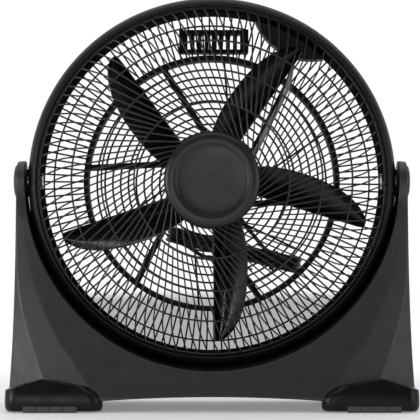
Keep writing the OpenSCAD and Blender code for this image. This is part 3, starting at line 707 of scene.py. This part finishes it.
def foot_outline(z):
    """Outline of the foot at a height, with round corners; the inner end is slanted."""
    x0, x1, half, corner = foot_level(z)
    turn = 180 - math.degrees(math.atan2(FOOT_SLANT, 2 * (half - corner)))
    corners = [(x1 - corner, -half + corner, -90, 0), (x1 - corner, half - corner, 0, 90),
               (x0 + FOOT_SLANT + corner, half - corner, 90, turn), (x0 + corner, -half + corner, turn, 270)]
    arcs = []
    for cx, cy, a0, a1 in corners:
        angles = [rad(lerp(a0, a1, i / 12)) for i in range(13)]
        arcs.append([(cx + corner * math.cos(a), cy + corner * math.sin(a)) for a in angles])
    points = []
    for k in range(4):
        (ax, ay), (bx, by) = arcs[k][-1], arcs[(k + 1) % 4][0]
        points += arcs[k] + [(lerp(ax, bx, i / 26), lerp(ay, by, i / 26)) for i in range(1, 26)]
    return points


def foot_top(x, y):
    gable = PEAK_Z - 0.315 * (x - PEAK_X) if x > PEAK_X else PEAK_Z - 0.172 * (PEAK_X - x)
    return min(gable, SEAM_LOW + SEAM_SLOPE * abs(y))


for name, node, mirror in (("foot_block_left", "foot_left", -1), ("foot_block_right", "foot_right", 1)):
    foot = Shape(row_place)
    levels = [15 + 0.25 * k for k in range(126)]
    outlines = [foot_outline(z) for z in levels]
    around = len(outlines[0])
    rows = [[(x, y, z) for x, y in foot_outline(z)] for z in (1.5, 2.2, 3.5, 5, 7, 9, 12)]
    tops = []
    for j in range(around):
        under = [k for k, z in enumerate(levels) if foot_top(*outlines[k][j]) > z + 1]
        tops.append(under[-1] if under else 0)
    for k in range(7):
        at = [round(tops[j] * k / 6) for j in range(around)]
        rows.append([(*outlines[at[j]][j], levels[at[j]]) for j in range(around)])
    rim = rows[-1]
    for inset, drop in ((0.35, 0.35), (1.0, 0.05), (1.8, 0)):
        row = []
        for x, y, _ in rim:
            to = Vector((FOOT_MIDDLE - x, -y, 0)).normalized() * inset
            row.append((x + to.x, y + to.y, foot_top(x + to.x, y + to.y) - drop))
        rows.append(row)
    for shrink in (0.9, 0.8, 0.7, 0.55, 0.3, 0):
        row = []
        for x, y, _ in rim:
            px, py = lerp(FOOT_MIDDLE, x, shrink), lerp(0, y, shrink)
            row.append((px, py, foot_top(px, py)))
        rows.append(row)
    rows = [[(mirror * x, y, z) for x, y, z in row] for row in rows]
    foot.grid(rows, close_columns=True)
    foot.faces.append(list(range(around)))
    foot.finish(name, "base", "foot_plastic", (node,), sharp=50)

# Grey pads under the feet, with grooves across
PAD_X, PAD_PITCH, PAD_BLOCK = 187.2, 18.8, 18
pads = Shape(row_place)
for mirror in (-1, 1):
    for y0 in (-104.6, 80.6):
        for k in range(4):
            lo_x, hi_x = PAD_X + k * PAD_PITCH, PAD_X + k * PAD_PITCH + PAD_BLOCK
            xs = sorted((mirror * lo_x, mirror * hi_x))
            pads.block((xs[0], y0 + 0.02, 0.02), (xs[1], y0 + 23.98, 8.9), 0.7)
        xs = sorted((mirror * 188, mirror * 261))
        pads.block((xs[0], y0 + 1.5, 1.2), (xs[1], y0 + 22.5, 8.6), 0.6)
pads.finish("foot_rubber_pads", "base", "pad_rubber", ("foot_pads",))

# Domed covers over the tilt bolts
for name, node, mirror in (("pivot_dome_left", "pivot_cap_left", -1),
                           ("pivot_dome_right", "pivot_cap_right", 1)):
    dome = Shape(lambda p, m=mirror: Vector((m * (ARM_OUT + p[2]), p[0], AXIS_Z + p[1])) * MM)
    dome.revolve([(0, 1.8), (20, 1.4), (22.8, 0.05), (24, 0.05), (23.9, 0.9), (23.2, 2.1), (21.5, 3.3),
                  (18.5, 4.2), (14, 4.9), (8, 5.4), (0, 5.6)], 96, closed=False)
    dome.finish(name, "base", "base_plastic", (node,))

# ---- Front grille ----------------------------------------------------------------------------

RIB_COUNT = 100
RIB_OFFSET = 53
RIB_FIRST = -1.35
FRONT_RINGS = (110.6, 157, 200)
CAP_R = 68.3
LIP_R = 247


def dome_z(r):
    return 27 + 28 * (1 - (max(0, r - CAP_R) / (LIP_R - CAP_R)) ** 2.6)


def rib_angle(r):
    """Ribs run straight past the axis and bend over near the rim."""
    bend = 1.8 * (max(0, r - 212) / 35) ** 1.2
    return math.degrees(math.acos(RIB_OFFSET / r)) + RIB_FIRST + bend


ribs = Shape()
rib_section = boss_section(2.1, 5, 1.1)
for k in range(RIB_COUNT):
    start = CAP_R - 4 if k % 2 else FRONT_RINGS[0]
    count = 26 if k % 2 else 19
    path = []
    for i in range(count + 1):
        r = lerp(start, 249.2, i / count)
        path.append(polar(r, rib_angle(r) + 360 / RIB_COUNT * k, dome_z(r)))
    ribs.sweep(path, rib_section, (0, 0, 1))
ribs.finish("front_ribs", "head", "front_grille_plastic")

rings = Shape()
for r in FRONT_RINGS:
    z = dome_z(r)
    rings.revolve([(r - 1.2, z - 6), (r - 1.2, z - 1.6), (r - 0.7, z - 0.9), (r, z - 0.7), (r + 0.7, z - 0.9),
                   (r + 1.2, z - 1.6), (r + 1.2, z - 6)], 180)
rings.revolve([(CAP_R - 9, 47), (CAP_R - 9, 56), (CAP_R - 2, 56), (CAP_R - 2, 47)], 128)
rings.finish("front_rings", "head", "front_grille_plastic")

bezel = Shape()
outer = [(252 + 13 * math.cos(rad(a)), 28 * math.sin(rad(a))) for a in range(0, 91, 6)]
bezel.revolve([(264.4, -0.4), (264.9, 0.2)] + outer[1:] + [
    (251.4, 27.6), (250.8, 26.4), (250.3, 26), (249.8, 26.5), (249.4, 28.1), (248.7, 28.9), (247.7, 29),
    (247.1, 28.4), (246.9, 26), (246.9, 20.5), (248.2, 20.5), (251.5, 23.5), (256, 21), (259, 15),
    (261.4, 7), (262.3, -0.4)], 256)
bezel.finish("front_bezel", "head", "front_grille_plastic", ("front_grille",), sharp=50, look="bezel")

cap = Shape()
cap.revolve([(0, 61.3), (20, 61.4), (36, 61.6), (44, 62), (48, 62.5), (50, 63.1), (51.4, 64.0), (53, 64.6),
             (55, 64.9), (57.8, 64.95), (60.8, 64.5), (63.5, 63.6), (65.8, 62.2), (67.2, 60.6), (67.9, 58.8),
             (68.2, 56.7), (65.9, 56.7), (64.8, 58.6), (50, 60), (0, 58.9)], 160, closed=False)
cap.finish("grille_centre_cap", "head", "cap_plastic", ("grille_cap",), sharp=60)

# ---- Rear grille -----------------------------------------------------------------------------

SWITCH_ANGLE = 61.3
# The inner edge of the switch housing is an arch about a centre outside the drum
ARCH_AT, ARCH_R = 308, 90
BAR_COUNT = 138
BAR_OUT = 252
STEP_IN = 182.3
SPOKE_OFFSET = 33


def bar_end(a):
    """Radius at which a rear bar at this angle ends: the rim, or the arch of the switch housing."""
    off = (a - SWITCH_ANGLE + 180) % 360 - 180
    side = ARCH_AT * math.sin(rad(off))
    if abs(off) > 30 or abs(side) > ARCH_R:
        return BAR_OUT
    return min(BAR_OUT, ARCH_AT * math.cos(rad(off)) - math.sqrt(ARCH_R ** 2 - side ** 2) - 1)


bars = Shape()
for k in range(BAR_COUNT):
    a = -0.46 + 360 * k / BAR_COUNT
    d = Vector(polar(1, a, 0))
    end = bar_end(a)
    path = [d * r + Vector((0, 0, -57)) for r in (187.6, (187.6 + end) / 2, end)]
    bars.sweep(path, [(-1.2, -3.4), (-1.2, -0.5), (-0.7, 0), (0.7, 0), (1.2, -0.5), (1.2, -3.4),
                      (0.8, -4), (-0.8, -4)], (0, 0, 1))
thin = [(231.6, -60.4), (231.6, -58.5), (232.2, -58), (233.4, -58), (234, -58.5), (234, -60.4)]
cut_low, cut_high = SWITCH_ANGLE - 15.2, SWITCH_ANGLE + 15.2
bars.revolve(thin, 170, start=cut_high, sweep=360 - (cut_high - cut_low))
bars.revolve([(186, -61.4), (186, -57.6), (186.6, -57.2), (188.8, -57.2), (189.4, -57.7), (189.4, -61),
              (189, -61.4)], 160)
bars.finish("rear_bars", "head", "rear_grille_plastic", ("rear_outer_grille",))

centre = Shape()
centre.revolve([(STEP_IN, -97), (STEP_IN, -57.8), (182.9, -57), (186.2, -57), (186.2, -95.8),
                (185, -97)], 180)
for k in range(9):
    r = 77.9 + 11.7 * k
    centre.revolve([(r - 1.4, -95.4), (r - 1.4, -93.1), (r - 0.8, -92.5), (r + 0.8, -92.5), (r + 1.4, -93.1),
                    (r + 1.4, -95.4), (r + 0.8, -96), (r - 0.8, -96)], 150)


def spoke_path(outer_angle, r0, r1, z):
    """Points on a straight line that passes the axis at SPOKE_OFFSET and ends at a given angle."""
    turn = outer_angle + math.degrees(math.asin(SPOKE_OFFSET / STEP_IN))
    s0, s1 = (math.sqrt(r ** 2 - SPOKE_OFFSET ** 2) for r in (r0, r1))
    line = []
    for k in range(7):
        s = lerp(s0, s1, k / 6)
        c, w = math.cos(rad(turn)), math.sin(rad(turn))
        line.append((s * c + SPOKE_OFFSET * w, s * w - SPOKE_OFFSET * c, z))
    return line


WIDE_SPOKE = [(-4.7, -8.4), (-4.7, -1), (-3.8, -0.1), (3.8, -0.1), (4.7, -1), (4.7, -8.4), (3.9, -9),
              (-3.9, -9)]
NARROW_SPOKE = [(-1.5, -5.4), (-1.5, -0.6), (-0.9, 0), (0.9, 0), (1.5, -0.6), (1.5, -5.4), (0.9, -6),
                (-0.9, -6)]
for k in range(6):
    centre.sweep(spoke_path(52.5 + 60 * k, 66, 183.2, -88), WIDE_SPOKE, (0, 0, 1))
    centre.sweep(spoke_path(84 + 60 * k, 66, 183.2, -91), NARROW_SPOKE, (0, 0, 1))
centre.revolve([(13, -93), (13, -89), (68, -89), (68, -96.3), (67.2, -97), (65, -97), (65, -93)], 128)
centre.finish("rear_centre_spokes", "head", "rear_grille_plastic", ("rear_centre_grille",))

# Carrying grip: a pocket with a slotted front wall
# Middle, lower edge, width and height
GX, GY, GW, GH = 3, 193.5, 103, 34
grip = Shape()
for k in range(9):
    x0 = GX - GW / 2 if k == 0 else GX + (k - 4.5) * 10.5 + 2.1
    x1 = GX + GW / 2 if k == 8 else GX + (k - 3.5) * 10.5 - 2.1
    grip.block((x0, GY + 3, -64), (x1, GY + GH - 2, -61.1), 0.6)
grip.block((GX - GW / 2, GY, -64), (GX + GW / 2, GY + 5, -61.05), 0.7)
grip.block((GX - GW / 2, GY + GH - 4.5, -64), (GX + GW / 2, GY + GH, -61.05), 0.7)
grip.block((GX - GW / 2, GY, -92), (GX + GW / 2, GY + 5, -61), 1.6)
grip.block((GX - GW / 2, GY + GH - 6, -92), (GX + GW / 2, GY + GH, -61), 1.6)
grip.block((GX - GW / 2, GY, -92), (GX - GW / 2 + 6, GY + GH, -61), 1.6)
grip.block((GX + GW / 2 - 6, GY, -92), (GX + GW / 2, GY + GH, -61), 1.6)
grip.finish("carry_grip", "head", "rear_grille_plastic", ("carry_handle",), sharp=30)

# Wires to the switch, in a glossy conduit along a spoke
conduit = Shape()
conduit_path = spline([(51, 19, -84.4), (60, 36.5, -84.2), (84, 84, -84.2), (103, 121, -84),
                       (108.2, 131.5, -80), (111, 137, -68), (113.2, 142, -55), (116, 158, -50.5),
                       (120, 183.5, -49)], 1.6)
conduit_r = [3.45 + 0.22 * math.sin(k * 1.9) for k in range(len(conduit_path))]
conduit.tube(conduit_path, conduit_r, 16)
conduit.finish("switch_conduit", "head", "conduit_plastic", ("wire_conduit",))

# Speed switch: panel, dial and knob
KNOB_R = 231


def knob_place(p):
    """From a frame at the knob (x outwards, y counter-clockwise, z forwards) to the row frame."""
    a = rad(SWITCH_ANGLE)
    x, y = KNOB_R + p[0], p[1]
    return head_place((x * math.cos(a) - y * math.sin(a), x * math.sin(a) + y * math.cos(a), p[2]))


# Outline of the panel: the arch inwards, then the drum's curve, which cross at these angles
edge_r = 245.4
outer_reach = math.degrees(math.acos((edge_r ** 2 + ARCH_AT ** 2 - ARCH_R ** 2) / (2 * edge_r * ARCH_AT)))
inner_reach = math.degrees(math.asin(edge_r * math.sin(rad(outer_reach)) / ARCH_R))
outline = []
for k in range(33):
    a = rad(180 - lerp(-inner_reach, inner_reach, k / 32))
    outline.append((ARCH_AT + (ARCH_R - 0.1) * math.cos(a) - KNOB_R, (ARCH_R - 0.1) * math.sin(a)))
for k in range(1, 32):
    a = rad(lerp(-outer_reach, outer_reach, k / 32))
    outline.append((edge_r * math.cos(a) - KNOB_R, edge_r * math.sin(a)))
panel = Shape(knob_place)
middle = Vector((sum(p[0] for p in outline) / len(outline), 0))


def inset(amount):
    """The outline drawn in by about this much."""
    return [(lerp(x, middle.x, amount / 30), lerp(y, 0, amount / 46)) for x, y in outline]


levels = ((0, -65.9), (0, -67.6), (0.35, -68.2), (1.1, -68.5), (6, -68.5), (18, -68.5))
panel.grid([[(x, y, z) for x, y in inset(s)] for s, z in levels], close_columns=True)
n_out = len(outline)
panel.faces.append([len(panel.points) - n_out + j for j in range(n_out)])
panel.faces.append(list(range(n_out))[::-1])
panel.finish("switch_cover", "head", "drum_plastic", ("switch_panel",))

marks = Shape(knob_place)
DIGITS = {
    "0": [[(-1, 0), (-1, 1.6), (0, 2.4), (1, 1.6), (1, 0), (1, -1.6), (0, -2.4), (-1, -1.6), (-1, 0)]],
    "1": [[(-0.8, 1.5), (0.2, 2.4), (0.2, -2.4)]],
    "2": [[(-1.1, 1.5), (0, 2.4), (1.1, 1.5), (0.7, 0.3), (-1.1, -2.4), (1.2, -2.4)]],
    "3": [[(-1.1, 1.7), (0, 2.4), (1.1, 1.5), (0.1, 0.2), (1.2, -1.1), (0, -2.4), (-1.2, -1.7)]],
}
for k, digit in enumerate("0123"):
    a = rad(180 + 45 * k - 67)
    cx, cy = 17.6 * math.cos(a), 17.6 * math.sin(a)
    for stroke in DIGITS[digit]:
        line = spline([(cx + 0.75 * py, cy - 0.75 * px, -68.55) for px, py in stroke], 0.4)
        marks.tube(line, 0.3, 6)
marks.finish("dial_marks", "head", "drum_plastic", look="marking")

knob = Shape(knob_place)
knob_rows = []
flutes = 24
steps = flutes * 4
for r, z in ((3, -51), (3, -70.2), (13.4, -70.2), (13.5, -71), (13.5, -73), (13.2, -73.5), (12.3, -73.6),
             (12.15, -74.2), (11.4, -82), (11.1, -84.6), (10.3, -85.6), (8.8, -86), (0.01, -86)):
    row = []
    for j in range(steps):
        a = TAU * j / steps
        depth = 0.32 if -85 < z < -74 else 0
        fluted = r - depth * (1 - math.cos(a * flutes)) / 2
        row.append((fluted * math.cos(a), fluted * math.sin(a), z))
    knob_rows.append(row)
knob.grid(knob_rows, close_columns=True)
knob.faces.append(list(range(steps))[::-1])
knob.block((-10.6, -1.5, -85.98), (10.9, 1.5, -84.6), 0.5)
knob.finish("speed_dial", "speed_knob", "knob_plastic", ("speed_knob",), sharp=32)

# ---- Impeller --------------------------------------------------------------------------------

HUB_R, TIP_R = 52, 230
BLADE_LEAD = 126.8


def blade_span(t):
    """Angle that a blade covers, from its root at t = 0 to its tip at t = 1."""
    return 40 * (1 - t) * (1 - 0.45 * t) + 7 * t * (1 - t ** 6) + 3.5 * t


def blade_height(t, c):
    """Height of the twisted surface, from the leading edge at c = 0 to the trailing edge at c = 1."""
    return (40 - 32 * t) * (c - 0.5) + 9 * math.sin(PI * c) * (1 - 0.5 * c) - 6


def blade(turn):
    """Curved blade: two skins with a round edge between them."""
    radial, chord = 34, 22
    thick = 2.6
    rows = []
    for i in range(radial + 1):
        t = i / radial
        t = lerp(t, smooth(t), 0.25)
        r = lerp(HUB_R - 1.5, TIP_R, t)
        tt = max(0, (r - HUB_R) / (TIP_R - HUB_R))
        cut = 0.0
        if tt > 0.93:
            cut = 0.5 * ((tt - 0.93) / 0.07) ** 2.4
        loop = []
        for side in (0, 1):
            for j in range(chord + 1):
                c = j / chord if side == 0 else 1 - j / chord
                u = abs(2 * c - 1)
                edge = math.sqrt(max(0, 1 - u ** 8))
                half = thick / 2 * (0.25 + 0.75 * edge) * (1 - 0.55 * max(0, tt - 0.9) / 0.1)
                cc = lerp(c, 0.5, cut * 0.35)
                a = BLADE_LEAD + turn + cc * blade_span(tt)
                z = blade_height(tt, cc) - thick / 2 + (half if side == 0 else -half)
                loop.append(polar(r, a, z))
        rows.append(loop)
    return rows


blades = Shape()
for k in range(5):
    rows = blade(72 * k)
    first = len(blades.points)
    blades.grid(rows, close_columns=True)
    m = len(rows[0])
    blades.faces.append([first + j for j in range(m)])
    blades.faces.append([len(blades.points) - m + j for j in range(m)][::-1])
blades.revolve([(4, -26), (4, 18), (40, 18), (47.5, 17), (50.8, 14.6), (52, 11), (52, -33), (51.4, -34),
                (49.4, -34), (49, -33.4), (49, 12), (46, 15), (11, 15), (11, -26)], 128)
blades.finish("impeller_blades", "impeller", "blade_plastic", ("fan_blades",), sharp=44)

# ---- CAD nodes that stay, with their own materials -------------------------------------------

slots = {part["node"]: part["material_slot"] for part in frame["record"]["subparts"]}
for node, piece in frame["nodes"].items():
    piece.data.materials.clear()
    piece.data.materials.append(LOOKS[slots[node]])

# ---- Studio ------------------------------------------------------------------------------------

ground = bpy.data.meshes.new("studio_floor")
bm = bmesh.new()
bmesh.ops.create_grid(bm, x_segments=60, y_segments=60, size=9)
bm.to_mesh(ground)
bm.free()
floor = bpy.data.objects.new("studio_floor", ground)
scene.collection.objects.link(floor)
floor.location = (0, 0, -0.0004)
floor_look = surface("studio_floor", (244, 244, 244), 0.6, 0.2, grain=60, relief=0.02, mottle=0.01, wear=0)
ground.materials.append(floor_look)
# Away from the fan the floor runs out into the white of the backdrop, but for a painted shadow, a soft darker
# band behind it
g = Nodes(floor_look.node_tree)
out = next(n for n in floor_look.node_tree.nodes if n.bl_idname == "ShaderNodeOutputMaterial")
lit = out.inputs["Surface"].links[0].from_node
spot = g.add("ShaderNodeNewGeometry")
axes = g.add("ShaderNodeSeparateXYZ")
g.join(spot, "Position", axes, "Vector")


def ramp_over(source, socket, low, high, a, b):
    node = g.add("ShaderNodeMapRange", interpolation_type="SMOOTHSTEP", in_From_Min=low, in_From_Max=high,
                 in_To_Min=a, in_To_Max=b)
    g.tree.links.new(source.outputs[socket], node.inputs["Value"])
    return node


def maths(operation, a, b):
    node = g.add("ShaderNodeMath", operation=operation)
    for socket, value in zip(node.inputs, (a, b)):
        if isinstance(value, (int, float)):
            socket.default_value = value
        else:
            g.tree.links.new(value, socket)
    return node.outputs[0]


distance = g.add("ShaderNodeVectorMath", operation="LENGTH")
g.join(spot, "Position", distance, "Vector")
# A fifth of the backdrop's white glows near the fan, a painted light that lifts the floor's shadow under the
# base; all of it glows beyond 0.85 m
away = ramp_over(distance, "Value", 0.42, 0.85, 0.2, 1.0)
# The painted shadow lies in a wedge that widens away from the camera
fan_out = g.add("ShaderNodeMath", operation="DIVIDE")
g.tree.links.new(maths("ABSOLUTE", axes.outputs["X"], 0), fan_out.inputs[0])
g.tree.links.new(maths("MAXIMUM", maths("ADD", axes.outputs["Y"], 2.5), 0.1), fan_out.inputs[1])
beside = ramp_over(fan_out, "Value", 0.085, 0.108, 1.0, 0.0)
begins = ramp_over(axes, "Y", 0.4, 1.4, 0.0, 1.0)
ends = ramp_over(axes, "Y", 4.6, 7.4, 1.0, 0.0)
painted_shadow_band = maths("MULTIPLY", maths("MULTIPLY", beside.outputs["Result"], begins.outputs["Result"]),
             ends.outputs["Result"])
# Painted shadow: the floor's glow is dimmed inside the wedge
level = maths("SUBTRACT", 1.0, maths("MULTIPLY", painted_shadow_band, 0.56))
# The glow is the backdrop's even white far from the fan; near the fan it is painted light on the floor's
# shadow
glow = g.add("ShaderNodeEmission")
g.tree.links.new(level, glow.inputs["Strength"])
blend = g.add("ShaderNodeMixShader")
g.join(away, "Result", blend, "Fac")
g.tree.links.new(lit.outputs["BSDF"], blend.inputs[1])
g.tree.links.new(glow.outputs["Emission"], blend.inputs[2])
g.tree.links.new(blend.outputs["Shader"], out.inputs["Surface"])

# Pale all round behind the fan, dimmer towards the front, so that the dark plastic stays dark
world = bpy.data.worlds.new("studio")
scene.world = world
world.use_nodes = True
sky = Nodes(world.node_tree)
background = world.node_tree.nodes["Background"]
background.inputs["Color"].default_value = (1, 1, 1, 1)
where = sky.add("ShaderNodeTexCoord")
split = sky.add("ShaderNodeSeparateXYZ")
sky.join(where, "Generated", split, "Vector")
fade = sky.add("ShaderNodeMapRange", interpolation_type="SMOOTHSTEP", in_From_Min=-0.35, in_From_Max=0.55,
               in_To_Min=0.10, in_To_Max=1.03)
sky.join(split, "Y", fade, "Value")
sky.join(fade, "Result", background, "Strength")


def softbox(name, at, toward, size, power):
    data = bpy.data.lights.new(name, "AREA")
    data.shape = "RECTANGLE"
    data.size, data.size_y = size
    data.energy = power
    lamp = bpy.data.objects.new(name, data)
    scene.collection.objects.link(lamp)
    lamp.location = at
    lamp.rotation_euler = (Vector(toward) - Vector(at)).to_track_quat("-Z", "Y").to_euler()


softbox("left", (-2.3, -0.75, 0.3), (0, 0, 0.3), (0.9, 1.3), 9)
softbox("right", (2.0, -1.1, 0.55), (0, 0, 0.3), (0.9, 1.1), 12)
softbox("top", (0, -0.3, 2.6), (0, 0, 0.2), (3.2, 2.2), 28)
softbox("front", (-0.4, -2.4, 0.25), (0, 0, 0.2), (0.9, 0.4), 8)
softbox("glint", (-1.7, -1.05, 0.42), (0, 0, 0.2), (0.12, 0.5), 14)

scene.view_settings.view_transform = "Standard"
